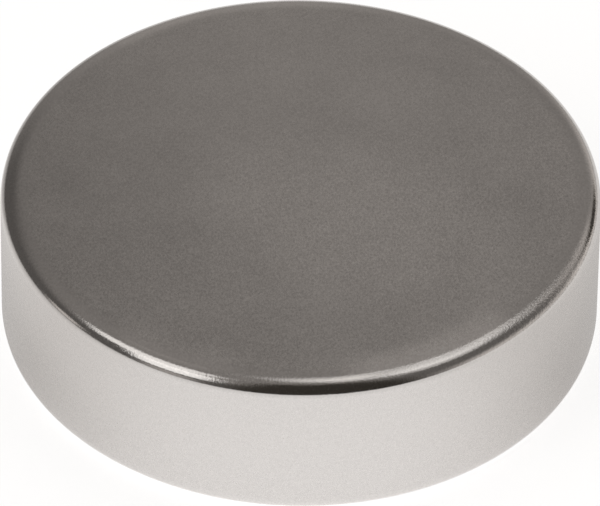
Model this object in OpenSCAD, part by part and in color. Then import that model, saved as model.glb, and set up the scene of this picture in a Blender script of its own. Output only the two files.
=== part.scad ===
// Disc magnet: one sintered disc with two flat pole faces and a straight rim.
// Tumbling has rounded both of its edges, and plating covers it all over.
// It lies on a pole face, centred on the origin, with its axis along Z.

/* [Disc] */
// Diameter across the rim
disc_d = 25; // [10:0.5:60]
// Thickness from pole face to pole face
disc_h = 7; // [3.5:0.5:25]

/* [Tumbled edges] */
// Radius of the round between the rim and each pole face
edge_r = 0.75; // [0.2:0.05:1.5]

/* [Hidden] */
$fn = 180;

disc_r = disc_d / 2;
// Radius of the flat of a pole face, where the rounded edge begins
flat_r = disc_r - edge_r;
// Height of the straight rim between the two rounded edges
rim_h = disc_h - 2 * edge_r;

// Half of the disc's section, from its axis out to its rim
module disc_section() {
    // From the flat of one pole face to the flat of the other
    square([flat_r, disc_h]);
    // Out to the straight rim
    translate([0, edge_r])
        square([disc_r, rim_h]);
    // Rounded edge at each end of the rim
    for (z = [edge_r, disc_h - edge_r])
        translate([flat_r, z])
            circle(edge_r);
}

module magnet_disc() {
    color([0.74, 0.72, 0.69])
        rotate_extrude()
            disc_section();
}

magnet_disc();
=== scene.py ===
# %% [markdown]
# # A nickel-plated disc magnet
# The object is one sintered disc, as plain as a coin: two flat pole faces, a straight rim, and edges
# that tumbling has rounded. All of its character is in the plating, so this lesson spends a little on
# the shape and a lot on the metal and on what the metal mirrors.
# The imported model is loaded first. It fixes the size and the place of everything that follows.

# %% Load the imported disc
import math

import bpy
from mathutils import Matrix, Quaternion, Vector


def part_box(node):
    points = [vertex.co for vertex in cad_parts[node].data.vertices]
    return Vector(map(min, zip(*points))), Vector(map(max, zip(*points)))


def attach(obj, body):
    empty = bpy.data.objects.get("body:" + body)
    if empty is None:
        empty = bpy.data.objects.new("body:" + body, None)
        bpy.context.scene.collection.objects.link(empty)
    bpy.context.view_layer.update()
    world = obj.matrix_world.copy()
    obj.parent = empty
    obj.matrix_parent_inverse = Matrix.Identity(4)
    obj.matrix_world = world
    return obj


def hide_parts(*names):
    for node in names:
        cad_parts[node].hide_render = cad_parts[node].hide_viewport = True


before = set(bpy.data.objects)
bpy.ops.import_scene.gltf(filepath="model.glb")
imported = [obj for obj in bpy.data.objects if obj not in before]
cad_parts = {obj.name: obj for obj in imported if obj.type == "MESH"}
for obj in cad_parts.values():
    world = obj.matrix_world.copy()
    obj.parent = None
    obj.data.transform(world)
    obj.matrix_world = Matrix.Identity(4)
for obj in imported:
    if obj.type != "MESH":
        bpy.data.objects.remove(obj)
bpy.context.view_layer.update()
scene = bpy.context.scene
scene.view_settings.view_transform = "Standard"

MM = 0.001
disc_low, disc_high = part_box("magnet_disc")
disc_r = (disc_high.x - disc_low.x) / 2
disc_h = disc_high.z - disc_low.z
print(f"disc {2 * disc_r / MM:.2f} mm across, {disc_h / MM:.2f} mm thick")

# %% [markdown]
# ## The camera
# The disc was photographed from well above and from far away with a long lens: its sides hardly
# draw together towards the bottom. A camera sixteen diameters off keeps that flat look. It aims
# a touch below the middle of the disc, and it is tipped by less than a degree, as a hand-held one is.
# Angles are in degrees all through the lesson, so two small helpers give their cosine and sine.

# %% Camera
CAMERA_ELEVATION = 41.385
CAMERA_DISTANCE = 16 * 2 * disc_r
CAMERA_LENS = 573.9
CAMERA_SENSOR = 36
CAMERA_ROLL = 0.79
AIM_BELOW_MIDDLE = 0.245 * MM


def cosine(degrees):
    return math.cos(math.radians(degrees))


def sine(degrees):
    return math.sin(math.radians(degrees))


middle = Vector((0, 0, disc_h / 2))
towards_camera = Vector((0, -cosine(CAMERA_ELEVATION), sine(CAMERA_ELEVATION)))
aim = middle - Vector((0, 0, AIM_BELOW_MIDDLE))

camera = bpy.data.objects.new("camera", bpy.data.cameras.new("camera"))
scene.collection.objects.link(camera)
scene.camera = camera
camera.location = middle + CAMERA_DISTANCE * towards_camera
look = (aim - camera.location).to_track_quat("-Z", "Y")
camera.rotation_mode = "QUATERNION"
camera.rotation_quaternion = look @ Quaternion((0, 0, 1), math.radians(CAMERA_ROLL))
camera.data.sensor_width = CAMERA_SENSOR
camera.data.lens = CAMERA_LENS
camera.data.clip_end = 20 * CAMERA_DISTANCE
print(f"camera {CAMERA_DISTANCE / MM:.0f} mm away with a {CAMERA_LENS:.0f} mm lens")

# %% [markdown]
# ## The disc
# The real disc is pressed, sintered, ground flat and then tumbled with grit. Tumbling doesn't cut a
# perfect quarter circle: the corner is tightest in its middle and eases into the face and the rim,
# and it is worn further in over the face than down the rim. A spun profile could give this too, but a
# bevelled cylinder has fewer numbers to set. A bevel takes as much off one side as off the other, so
# the cylinder is made too tall, bevelled, and pressed back to its height, which leaves each edge wider
# on the face. A bevel profile a little squarer than a circle gives the tight middle.

# %% Cylinder, made too tall
DISC_SIDES = 384
EDGE_WIDTH = 1.17 * MM
EDGE_DEPTH = 0.75 * MM

stretch = EDGE_WIDTH / EDGE_DEPTH
bpy.ops.object.select_all(action="DESELECT")
bpy.ops.mesh.primitive_cylinder_add(
    vertices=DISC_SIDES,
    radius=disc_r,
    depth=stretch * disc_h,
    end_fill_type="NGON",
    location=stretch * middle,
)
disc = bpy.context.active_object
disc.name = "plated_disc"
disc.data.name = "plated_disc"
bpy.ops.object.transform_apply(location=True, rotation=True, scale=True)
print(f"cylinder {stretch:.2f} times as tall as the disc")

# %% Both edges bevelled, and the height put right
EDGE_STEPS = 28
EDGE_SQUARENESS = 0.574

bpy.ops.object.mode_set(mode="EDIT")
bpy.ops.mesh.select_mode(type="EDGE")
bpy.ops.mesh.select_all(action="DESELECT")
bpy.ops.object.mode_set(mode="OBJECT")
points = disc.data.vertices
for edge in disc.data.edges:
    a, b = (points[i].co for i in edge.vertices)
    edge.select = abs(a.z - b.z) < disc_h / 2
bpy.ops.object.mode_set(mode="EDIT")
bpy.ops.mesh.bevel(
    offset=EDGE_WIDTH,
    offset_type="OFFSET",
    segments=EDGE_STEPS,
    profile=EDGE_SQUARENESS,
    affect="EDGES",
)
bpy.ops.mesh.select_all(action="SELECT")
bpy.ops.transform.resize(value=(1, 1, 1 / stretch), center_override=(0, 0, 0))
bpy.ops.mesh.normals_make_consistent(inside=False)
bpy.ops.object.mode_set(mode="OBJECT")
bpy.ops.object.shade_smooth()
print(f"disc has {len(disc.data.polygons)} faces")

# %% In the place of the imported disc
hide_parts("magnet_disc")
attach(disc, "root")
print(f"{disc.name} stands for magnet_disc")

# %% [markdown]
# ## A way to write shaders
# A finish is worked out from the place on the surface, with a lot of small sums. Written as nodes one
# by one they are hard to read, so one small class wraps a socket: adding or multiplying two of them
# adds the Math node that does it. Every other node comes from one method, `node`.

# %% Sockets that can be reckoned with
class Field:
    """A socket of a node tree, on which arithmetic adds Math nodes."""

    def __init__(self, tree, socket=None):
        self.tree = tree
        self.socket = socket

    def node(self, kind, settings=None, inputs=None, output=0):
        """Adds a node, sets its settings and then its sockets, and gives one of its outputs."""
        made = self.tree.nodes.new(kind)
        for key, value in (settings or {}).items():
            setattr(made, key, value)
        for key, value in (inputs or {}).items():
            if isinstance(value, Field):
                self.tree.links.new(value.socket, made.inputs[key])
            else:
                made.inputs[key].default_value = value
        return Field(self.tree, made.outputs[output] if made.outputs else None)

    def math(self, operation, *values):
        return self.node("ShaderNodeMath", {"operation": operation}, dict(enumerate(values)))

    def __add__(self, other):
        return self.math("ADD", self, other)

    def __radd__(self, other):
        return self.math("ADD", other, self)

    def __sub__(self, other):
        return self.math("SUBTRACT", self, other)

    def __rsub__(self, other):
        return self.math("SUBTRACT", other, self)

    def __mul__(self, other):
        return self.math("MULTIPLY", self, other)

    def __rmul__(self, other):
        return self.math("MULTIPLY", other, self)

    def __truediv__(self, other):
        return self.math("DIVIDE", self, other)

    def __pow__(self, other):
        return self.math("POWER", self, other)

    def rise(self, start, end):
        """0 up to start, 1 from end on, and a soft step between them."""
        values = {"Value": self, "From Min": start, "From Max": end}
        return self.node("ShaderNodeMapRange", {"interpolation_type": "SMOOTHSTEP"}, values)

    def parts(self):
        """The x, y and z of a vector."""
        return [self.node("ShaderNodeSeparateXYZ", inputs={0: self}, output=i) for i in range(3)]

    def colour(self, red, green, blue):
        return self.node("ShaderNodeCombineColor", inputs={0: red, 1: green, 2: blue})

    def mix(self, share, first, second, blend="MIX"):
        """Two colours mixed by share, or blended in another way."""
        settings = {"data_type": "RGBA", "blend_type": blend}
        return self.node("ShaderNodeMix", settings, {0: share, 6: first, 7: second}, output=2)


print("sums of sockets now add Math nodes")

# %% [markdown]
# ## The nickel plate
# Nickel is a warm white metal. On the flat pole faces it lies on ground and tumbled metal, so it is
# satin; on the worn edges it is burnished bright and finely pitted. A material for each would leave a
# hard line between them, so one metal shader does for all of it. Masks, worked out from the depth
# below the nearest face and inside the rim, tell it where it is. Each fades between a pair of depths.

# %% Masks of the pole faces and the edges
BURNISH_FADES = (0.40 * EDGE_WIDTH, 0.75 * EDGE_WIDTH)
FACE_STARTS = (0.40 * EDGE_WIDTH, EDGE_WIDTH)
SATIN_STARTS = (0.50 * EDGE_WIDTH, 1.15 * EDGE_WIDTH)

plate = bpy.data.materials.new("nickel_plate_satin")
plate.use_nodes = True
plate.node_tree.nodes.clear()
plating = Field(plate.node_tree)
place = plating.node("ShaderNodeTexCoord", output="Object")
x, y, z = place.parts()
radius = (x * x + y * y) ** 0.5
below_face = disc_h / 2 - plating.math("ABSOLUTE", z - disc_h / 2)
inside_rim = disc_r - radius
corner_depth = plating.math("MAXIMUM", stretch * below_face, inside_rim)
on_edge = 1 - corner_depth.rise(*BURNISH_FADES)
on_face = inside_rim.rise(*FACE_STARTS)
satin = corner_depth.rise(*SATIN_STARTS)
print(f"plate is burnished near the corner and satin from {SATIN_STARTS[1] / MM:.2f} mm inside it")

# %% [markdown]
# ## Grain, clouds and pits
# Seen close, the plate isn't even. Grinding leaves a fine grain that is a little longer one way,
# plating leaves broad faint clouds, and grit pits the edges. All three are lumps of one kind, each at
# its own size, so one helper makes them from a noise texture. Two broad masks go with them: painted
# shading that makes the face darker towards its left, and the worn part of the edge at the right front,
# where the pits are strongest.

# %% Grain, clouds and pits
GRAIN_SIZE = 0.08 * MM
GRAIN_STRETCH = 1.6
CLOUD_SIZE = 4.5 * MM
PIT_SIZE = 0.10 * MM


def noise(size, detail=2.0, roughness=0.5, at=place):
    """Soft lumps about as wide as size, from -1 to 1 or so."""
    values = {"Vector": at, "Scale": 1 / size, "Detail": detail, "Roughness": roughness}
    return 3 * plating.node("ShaderNodeTexNoise", {"noise_dimensions": "3D"}, values) - 1.5


lay = plating.node("ShaderNodeCombineXYZ", inputs={0: x, 1: y / GRAIN_STRETCH, 2: z / GRAIN_STRETCH})
grain = noise(GRAIN_SIZE, roughness=0.9, at=lay)
clouds = noise(CLOUD_SIZE, detail=3.0, roughness=0.6)
pits = noise(PIT_SIZE, roughness=0.7)
print(f"grain of {GRAIN_SIZE / MM:.2f} mm and pits of {PIT_SIZE / MM:.2f} mm")
print(f"clouds of {CLOUD_SIZE / MM:.1f} mm")

# %% Painted shading of the face, and worn part of the edge
PAINTED_SHADING_SLANT = 0.2
WORN_RIGHT = (0.55 * disc_r, 0.80 * disc_r)
WORN_BACK = (-0.45 * disc_r, -0.10 * disc_r)
WORN_DOWN = (0.2 * EDGE_DEPTH, 0.6 * EDGE_DEPTH)
WORN_DOWN_LOSS = 0.75

# painted shading: the face is darker towards its left and lighter from its middle on
painted_shading_ramp = (x + PAINTED_SHADING_SLANT * y).rise(-disc_r, 0)
worn = x.rise(*WORN_RIGHT) * (1 - y.rise(*WORN_BACK))
worn = worn * (1 - WORN_DOWN_LOSS * below_face.rise(*WORN_DOWN))
print(f"edge worn from {WORN_RIGHT[0] / MM:.1f} mm to the right of the middle on")

# %% [markdown]
# ## Dull patches, smudges, and painted highlights and shade
# Handling leaves its marks: three patches of the face are duller, and two smudges lie along the back
# edge. One broad patch of the face carries a painted highlight, and its grain is more open there. In
# two places a painted highlight lightens the face along the rim, and the lip beyond carries a painted
# highlight on the left and painted shade on the right. They could be painted on an image by hand, but
# soft ovals and arcs, laid out in millimetres and degrees, stay where they are on the disc and have no
# pixels to run out of.

# %% Painted highlight patch and dull patches of the face
# An oval has its place x and y in mm, its turn in degrees, and half its length and width in mm.
# A dull patch has its share before its oval.
PAINTED_SHEEN_PATCH = (2.8, -2.0, -28, 9.0, 5.5)
DULL_PATCHES = (
    (0.8, (0.6, -9.3, 0, 4.5, 2.8)),
    (1.0, (8.2, -3.8, 70, 5.0, 3.5)),
    (0.6, (1.5, 10.8, 0, 5.0, 2.5)),
)


def patch(at_x, at_y, turn, half_length, half_width):
    """A soft oval of the face, 1 in its middle and 0 from its ends on."""
    dx = x - at_x * MM
    dy = y - at_y * MM
    along = (cosine(turn) * dx + sine(turn) * dy) / (half_length * MM)
    across = (cosine(turn) * dy - sine(turn) * dx) / (half_width * MM)
    return 1 - (along * along + across * across).rise(0.0, 1.0)


# painted highlight: a broad brighter patch of the face, where the grain is also opened
painted_sheen = patch(*PAINTED_SHEEN_PATCH)
dull = sum(share * patch(*oval) for share, oval in DULL_PATCHES)
print(f"one rubbed patch and {len(DULL_PATCHES)} dull ones on the face")

# %% Where the grain of the face is open
OPEN_SLANT = 0.5
OPEN_FRONT = (-7 * MM, 5 * MM)
OPEN_LEAST = 0.48
OPEN_FRONT_GAIN = 0.42
OPEN_SHEEN_GAIN = 0.32

open_front = (OPEN_SLANT * x - y).rise(*OPEN_FRONT)
open_grain = OPEN_LEAST + OPEN_FRONT_GAIN * open_front + OPEN_SHEEN_GAIN * painted_sheen
print(f"grain at {OPEN_LEAST:.2f} of its strength at the back left, and stronger in front")

# %% Painted highlights and shade along the rim of the face and its lip, and smudges
# A ring has the depths inside the rim at which it starts, is full and ends.
# An arc has its share, its bearing in degrees from the front, with + to the right, and half its width.
PAINTED_LIT_RING = (0.45 * MM, 0.75 * MM, 2.2 * MM)
PAINTED_LIT_ARCS = ((1.0, 28, 22), (0.4, -26, 16))
PAINTED_LIP_RING = (0.36 * MM, 0.54 * MM, 0.66 * MM)
PAINTED_LIP_ARCS = ((0.8, -27, 12), (-1.0, 25, 14))
SMUDGE_RING = (0.25 * MM, 0.5 * MM, 1.3 * MM)
SMUDGE_ARCS = ((1.0, -143, 5), (1.0, -153, 7))


def arc(bearing, half_width):
    """The side of the disc that faces a bearing."""
    facing = (sine(bearing) * x - cosine(bearing) * y) / radius
    return facing.rise(cosine(half_width), cosine(half_width / 2))


def marks(ring, arcs):
    """The arcs of a ring, each with its share."""
    start, full, end = ring
    on_ring = inside_rim.rise(start, full) * (1 - inside_rim.rise(full, end))
    return on_ring * sum(share * arc(bearing, half_width) for share, bearing, half_width in arcs)


# painted highlight: the face is lightened along the rim in two places
painted_lit = marks(PAINTED_LIT_RING, PAINTED_LIT_ARCS)
# painted highlight on the left of the lip and painted shade on its right
painted_lip = marks(PAINTED_LIP_RING, PAINTED_LIP_ARCS)
smudged = marks(SMUDGE_RING, SMUDGE_ARCS)
print(f"{len(PAINTED_LIT_ARCS)} rolled places and {len(SMUDGE_ARCS)} smudges along the rim")
print(f"lip marked in {len(PAINTED_LIP_ARCS)} places")

# %% [markdown]
# ## Ticks and specks
# Sliding against steel leaves short pale ticks that all run one way, and here and there dust
# under the plate leaves a dark speck. Cut into the mesh they would be slow to make and too fine to
# show. A noise that is stretched along the ticks gives them when only its peaks are kept, and the
# middles of Voronoi cells give the specks.

# %% Ticks and specks
TICK_TURN = 37
TICK_LENGTH = 1.6 * MM
TICK_WIDTH = 0.10 * MM
TICK_PEAKS = (0.48, 0.90)
SPECK_SPACING = 2.4 * MM
SPECK_SIZE = 0.07 * MM
SPECK_CORE = 0.4 * SPECK_SIZE

along = cosine(TICK_TURN) * x + sine(TICK_TURN) * y
across = cosine(TICK_TURN) * y - sine(TICK_TURN) * x
stretched = plating.node(
    "ShaderNodeCombineXYZ", inputs={0: along / TICK_LENGTH, 1: across / TICK_WIDTH, 2: z / TICK_LENGTH}
)
ticks = noise(1.0, detail=1.0, at=stretched).rise(*TICK_PEAKS)
speck_distance = plating.node(
    "ShaderNodeTexVoronoi", inputs={"Vector": place, "Scale": 1 / SPECK_SPACING}, output="Distance"
)
specks = 1 - (speck_distance * SPECK_SPACING).rise(SPECK_CORE, SPECK_SIZE)
print(f"ticks {TICK_LENGTH / MM:.1f} mm long, specks about {SPECK_SPACING / MM:.1f} mm apart")

# %% [markdown]
# ## Tone, polish and relief
# The masks and marks now come together in three sums. The tone multiplies the colour of nickel, the
# polish is the shader's roughness, and the relief is a height in metres for a bump node. Mix nodes
# could lay them over each other one by one, but a sum keeps every share in view. The relief starts
# with a slight crown, about 0.2 mm over the radius of the face, which bends what it mirrors.

# %% Tone of the plate
PAINTED_SHADING_LOSS = 0.137
PAINTED_SHADING_GAIN = 0.19
CLOUD_GAIN = 0.085
PAINTED_SHEEN_GAIN = 0.12
DULL_LOSS = 0.08
FACE_GRAIN_GAIN = 0.24
TICK_GAIN = 0.10
SPECK_LOSS = 0.25
PIT_GAIN = 0.11
WORN_PIT_GAIN = 0.28
PAINTED_LIT_GAIN = 0.33
PAINTED_LIP_GAIN = 0.26
SMUDGE_GAIN = 0.12
GRAIN_GAIN = 0.115

# the face tone holds painted shading towards the left and a painted highlight patch
face_tone = PAINTED_SHADING_GAIN * painted_shading_ramp - PAINTED_SHADING_LOSS + CLOUD_GAIN * clouds + PAINTED_SHEEN_GAIN * painted_sheen - DULL_LOSS * dull
face_marks = FACE_GRAIN_GAIN * grain * open_grain + TICK_GAIN * ticks - SPECK_LOSS * specks
edge_tone = pits * (PIT_GAIN + WORN_PIT_GAIN * worn)
tone = 1 + (face_tone + face_marks) * on_face + edge_tone * on_edge
# painted highlights along the rim and on the lip, and painted shade on the lip's right
tone = tone + PAINTED_LIT_GAIN * painted_lit + PAINTED_LIP_GAIN * painted_lip + SMUDGE_GAIN * smudged + GRAIN_GAIN * grain
print(f"face {PAINTED_SHADING_LOSS:.0%} darker at its left end and {PAINTED_SHADING_GAIN - PAINTED_SHADING_LOSS:.0%} lighter at its right")

# %% Polish and relief of the plate
EDGE_ROUGHNESS = 0.13
SATIN_GAIN = 0.15
CLOUD_ROUGHNESS = 0.03
GRAIN_ROUGHNESS = 0.05
CROWN_SLOPE = 0.035
CLOUD_HEIGHT = 0.014 * MM
GRAIN_HEIGHT = 0.0006 * MM
PIT_DEPTH = 0.0012 * MM
WORN_PIT_DEPTH = 0.0038 * MM

roughness = EDGE_ROUGHNESS + SATIN_GAIN * satin
roughness = roughness + CLOUD_ROUGHNESS * clouds * on_face + GRAIN_ROUGHNESS * grain
crown = -0.5 * CROWN_SLOPE / disc_r * radius * radius
pitting = pits * on_edge * (PIT_DEPTH + WORN_PIT_DEPTH * worn)
height = crown + CLOUD_HEIGHT * clouds * on_face + GRAIN_HEIGHT * grain + pitting
print(f"roughness {EDGE_ROUGHNESS:.2f} on the edges and {EDGE_ROUGHNESS + SATIN_GAIN:.2f} elsewhere")
print(f"crown of {0.5 * CROWN_SLOPE * disc_r / MM:.2f} mm")

# %% Metal shader
NICKEL = (0.70, 0.674, 0.656, 1)

colour = plating.mix(1.0, NICKEL, plating.colour(tone, tone, tone), "MULTIPLY")
normal = plating.node("ShaderNodeBump", inputs={"Distance": 1.0, "Height": height})
metal = plating.node(
    "ShaderNodeBsdfPrincipled",
    inputs={"Base Color": colour, "Metallic": 1.0, "Roughness": roughness, "Normal": normal},
)
plating.node("ShaderNodeOutputMaterial", inputs={"Surface": metal})
disc.data.materials.clear()
disc.data.materials.append(plate)
print(f"nickel plate made of {len(plate.node_tree.nodes)} nodes")

# %% [markdown]
# ## The white floor
# The floor is a broad pale sheet. It takes the soft shadow of the disc in the ordinary way, and for
# the camera it glows just enough to come out white, as a lit table does. More lamps could whiten it
# too, but they would wash out the metal. The rim mirrors the sheet, and in mirrored rays the sheet's
# glow carries painted light and shade: a painted pool of light in front and to the right, painted shade
# at the sides and the back of the disc, and less glow ahead, where the camera stands, and towards the
# back left. So what mirrored rays see is worked out from the place on the sheet, measured from the disc.

# %% Floor sheet
FLOOR_SIZE = 6.0

bpy.ops.object.select_all(action="DESELECT")
bpy.ops.mesh.primitive_plane_add(size=FLOOR_SIZE, location=(0, 0, disc_low.z))
floor = bpy.context.active_object
floor.name = "floor"
print(f"floor {FLOOR_SIZE:.0f} m square at the height of the lower pole face")

# %% Painted shade of the disc in the glow of the sheet
FLOOR_GLOW = 0.76
BEHIND = (-1.08, -0.25)
SHADE = 0.363
SHADE_EASE = 0.33
SHADE_EASES = (0.7 * MM, 5 * MM)
SIDE_EASE = 0.10
SIDE_TURNS = (8 * MM, 24 * MM)
CONTACT_FILL = 0.033
CONTACT_REACH = 12 * MM

sheet = bpy.data.materials.new("white_sheet")
sheet.use_nodes = True
sheet.node_tree.nodes.clear()
sheeting = Field(sheet.node_tree)
floor_x, floor_y, _ = sheeting.node("ShaderNodeTexCoord", output="Object").parts()
from_middle = (floor_x * floor_x + floor_y * floor_y) ** 0.5
from_disc = from_middle - disc_r
behind = (floor_y / from_middle).rise(*BEHIND)
side = floor_x / from_middle * (1 - 2 * from_disc.rise(*SIDE_TURNS))
eased = (SHADE_EASE - SIDE_EASE * side) * from_disc.rise(*SHADE_EASES)
# painted shade: the disc's shade, put into the glow that mirrored rays see
shade = SHADE * behind * (1 - eased)
# painted light: more glow close in front of the disc, for mirrored rays
fill = CONTACT_FILL * (1 - behind) * (1 - from_disc.rise(0, CONTACT_REACH))
print(f"sheet glows at {FLOOR_GLOW:.2f}, and at {FLOOR_GLOW - SHADE:.2f} close behind the disc")

# %% Painted pool of light and painted dimmer stretches of the sheet
POOL_X = 42 * MM
POOL_Y = -36 * MM
POOL_FADES = (48 * MM, 195 * MM)
POOL_STARTS = (3 * MM, 18 * MM)
POOL_LOSS = 0.9
DIM_AHEAD = {"loss": 0.15, "bearing": 8, "full": 33, "none": 55, "depths": (7 * MM, 17 * MM)}
DIM_BACK_LEFT = {"loss": 0.40, "bearing": -138, "full": 10, "none": 32, "depths": (6 * MM, 15 * MM)}


def dimness(loss, bearing, full, none, depths):
    """Painted loss of glow: whole up to full degrees from a bearing, and coming in over depths from the
    disc.
    """
    facing = (sine(bearing) * floor_x - cosine(bearing) * floor_y) / from_middle
    return loss * facing.rise(cosine(none), cosine(full)) * from_disc.rise(*depths)


from_pool = ((floor_x - POOL_X) ** 2 + (floor_y - POOL_Y) ** 2) ** 0.5
pool = 1 - POOL_LOSS * from_pool.rise(*POOL_FADES) * from_disc.rise(*POOL_STARTS)
dim = dimness(**DIM_AHEAD) + dimness(**DIM_BACK_LEFT)
# the glow for mirrored rays, with its painted shade, painted pool of light and painted dim stretches
mirrored_glow = (FLOOR_GLOW - shade + fill) * pool * (1 - dim)
print(f"pool of light fades up to {POOL_FADES[1] / MM:.0f} mm from its middle")

# %% Sheet shader
FLOOR_COLOUR = (0.8, 0.8, 0.8, 1)
FLOOR_WARMTH = 0.014

camera_ray = sheeting.node("ShaderNodeLightPath", output="Is Camera Ray")
glossy_ray = sheeting.node("ShaderNodeLightPath", output="Is Glossy Ray")
glass_ray = sheeting.node("ShaderNodeLightPath", output="Is Transmission Ray")
mirrored = sheeting.math("MAXIMUM", glossy_ray, glass_ray)
strength = FLOOR_GLOW * camera_ray + mirrored_glow * mirrored
# the painted shade is a little warmer in mirrored rays
warmer = FLOOR_WARMTH * behind * mirrored
glow_colour = sheeting.colour(strength * (1 + warmer), strength, strength * (1 - warmer))
glow = sheeting.node("ShaderNodeEmission", inputs={"Color": glow_colour})
matt = sheeting.node("ShaderNodeBsdfDiffuse", inputs={"Color": FLOOR_COLOUR})
both = sheeting.node("ShaderNodeAddShader", inputs={0: matt, 1: glow})
sheeting.node("ShaderNodeOutputMaterial", inputs={"Surface": both})
floor.data.materials.append(sheet)
print(f"white sheet made of {len(sheet.node_tree.nodes)} nodes")

# %% [markdown]
# ## The room
# Bare metal shows little of its own: the grey of the top face is the grey of the room behind it.
# The room is a dome, mid grey behind the disc, darker to the left and the right, and nearly black
# round the camera, which gives the edge its dark line. A few small soft lights put pale places along
# the edge. A picture of a studio could be wrapped round the disc instead, but here each part is a mask
# of the direction that a ray leaves in, so one part can be changed and the rest stays. The camera
# looks down on the floor, so only the metal shows the room.

# %% Masks of the room
LEFT_SIDE = (0.0, 0.42)
LEFT_TOP = (0.5, 0.85)
RIGHT_SIDE = (0.1, 0.4)
RIGHT_FRONT = (-0.4, -0.15)
RIGHT_TOP = (0.75, 0.95)
LOW_RIGHT_SIDE = (0.2, 0.8)
LOW_RIGHT_BACK = (-0.78, -0.35)
LOW_RIGHT_TOP = (0.0, 0.5)
LOW_BACK = (0.76, 0.95)
BACK_RIGHT_STARTS = (-0.02, 0.10)
BACK_RIGHT_ENDS = (0.3, 0.45)
BACK_RIGHT_BACK = (0.78, 0.86)

room = bpy.data.worlds.new("room")
scene.world = room
room.use_nodes = True
room.node_tree.nodes.clear()
surround = Field(room.node_tree)
way_x, way_y, way_z = surround.node("ShaderNodeTexCoord", output="Generated").parts()

left = (-1 * way_x).rise(*LEFT_SIDE) * (1 - way_z.rise(*LEFT_TOP))
right = way_x.rise(*RIGHT_SIDE) * (-1 * way_y).rise(*RIGHT_FRONT) * (1 - way_z.rise(*RIGHT_TOP))
low_right = way_x.rise(*LOW_RIGHT_SIDE) * way_y.rise(*LOW_RIGHT_BACK) * (1 - way_z.rise(*LOW_RIGHT_TOP))
low_back = way_y.rise(*LOW_BACK)
back_right = way_x.rise(*BACK_RIGHT_STARTS) * (1 - way_x.rise(*BACK_RIGHT_ENDS))
back_right = back_right * way_y.rise(*BACK_RIGHT_BACK)
print("room has masks for its left, right, low right, low back and back right")

# %% Dark front and small lights of the room
# A spot has its azimuth and elevation, and the angles from its middle up to which it is full and fades.
# A light has its gain before its spot.
FRONT_BEARING = 9
FRONT_FULL = 25
FRONT_NONE = 37
FRONT_TOP = (0.94, 0.995)
DARK_SPOT = (133, 15, 6, 11.5)
LIGHTS = (
    (0.50, (-88, 8, 3, 11)),
    (0.28, (-45, 10, 4, 14)),
    (0.22, (131, 35, 4, 13)),
    (0.32, (137, 80, 2.5, 7.5)),
)


def direction(azimuth, elevation):
    """Unit vector from the disc. Azimuth 0 is at the camera and 90 to its right, both in degrees."""
    across_floor = cosine(elevation)
    return Vector((sine(azimuth) * across_floor, -cosine(azimuth) * across_floor, sine(elevation)))


def spot(azimuth, elevation, inner, outer):
    """A soft round patch of the room: 1 up to inner degrees from its middle and 0 from outer on."""
    d = direction(azimuth, elevation)
    return (d.x * way_x + d.y * way_y + d.z * way_z).rise(cosine(outer), cosine(inner))


level_way = (way_x * way_x + way_y * way_y) ** 0.5
facing = (sine(FRONT_BEARING) * way_x - cosine(FRONT_BEARING) * way_y) / level_way
front = facing.rise(cosine(FRONT_NONE), cosine(FRONT_FULL)) * (1 - way_z.rise(*FRONT_TOP))
dark = surround.math("MAXIMUM", front, spot(*DARK_SPOT))
lights = sum(gain * spot(*where) for gain, where in LIGHTS)
print(f"room dark for {FRONT_FULL} degrees to each side of its front, with {len(LIGHTS)} small lights")

# %% Brightness and tint of the room
ROOM_GREY = 0.22
LEFT_LOSS = 0.12
RIGHT_LOSS = 0.09
BACK_RIGHT_LOSS = 0.06
LOW_RIGHT_GAIN = 0.48
LOW_BACK_GAIN = 0.09
FRONT_GREY = 0.035
ROOM_TINT = (1.06, 1.0, 0.95, 1)
FRONT_TINT = (1.12, 1.0, 0.86, 1)

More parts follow.
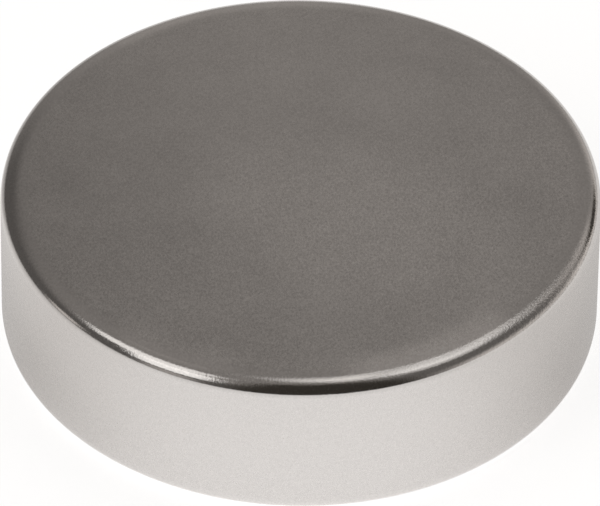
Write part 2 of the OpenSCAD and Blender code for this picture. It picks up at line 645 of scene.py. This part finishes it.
level = ROOM_GREY - LEFT_LOSS * left - RIGHT_LOSS * right - BACK_RIGHT_LOSS * back_right
level = level + LOW_RIGHT_GAIN * low_right + LOW_BACK_GAIN * low_back + lights
level = level + dark * (FRONT_GREY - level)
tint = surround.mix(dark, ROOM_TINT, FRONT_TINT)
lit_room = surround.mix(1.0, surround.colour(level, level, level), tint, "MULTIPLY")
backdrop = surround.node("ShaderNodeBackground", inputs={"Color": lit_room})
surround.node("ShaderNodeOutputWorld", inputs={"Surface": backdrop})
print(f"room made of {len(room.node_tree.nodes)} nodes")

# %% [markdown]
# ## The soft boxes
# Soft boxes draw the bright streaks along the edge. The key light stands in front and to the left, a
# box with a brighter strip beside it, and overhead there is a broad oval one with a brighter core.
# A mirror shows only where a lamp stands and what angle it fills, so each is set by these, and its
# power follows from its size: a lamp can then be moved or resized and stays as bright to look at.

# %% Soft boxes
BOX_DISTANCE = 0.6
LAMP_TINT = (1.0, 0.992, 0.978)
OVAL = "ELLIPSE"


def soft_box(name, azimuth, elevation, turn, width, depth, brightness, shape="RECTANGLE"):
    """An area lamp that faces the disc and fills width by depth degrees."""
    outward = direction(azimuth, elevation)
    lamp = bpy.data.lights.new(name, "AREA")
    lamp.shape = shape
    lamp.color = LAMP_TINT
    lamp.size = 2 * BOX_DISTANCE * math.tan(math.radians(width / 2))
    lamp.size_y = 2 * BOX_DISTANCE * math.tan(math.radians(depth / 2))
    filled = math.pi / 4 if shape == OVAL else 1
    lamp.energy = math.pi * filled * lamp.size * lamp.size_y * brightness
    box = bpy.data.objects.new(name, lamp)
    scene.collection.objects.link(box)
    box.location = middle + BOX_DISTANCE * outward
    box.rotation_mode = "QUATERNION"
    facing_disc = (-outward).to_track_quat("-Z", "Y")
    box.rotation_quaternion = facing_disc @ Quaternion((0, 0, 1), math.radians(turn))
    box.visible_camera = False
    print(f"{name}: {lamp.size:.2f} x {lamp.size_y:.2f} m, {lamp.energy:.2f} W")


soft_box("key_box", azimuth=-74.3, elevation=56.6, turn=34, width=30.5, depth=19, brightness=0.82)
soft_box("key_strip", azimuth=-49.5, elevation=38.9, turn=14.7, width=24.8, depth=29, brightness=1.04)
soft_box(
    "top_box", azimuth=105.0, elevation=64.6, turn=-4, width=42.4, depth=22.6, brightness=0.37, shape=OVAL
)
soft_box(
    "top_core", azimuth=114.8, elevation=75.9, turn=-35, width=27, depth=33, brightness=0.39, shape=OVAL
)
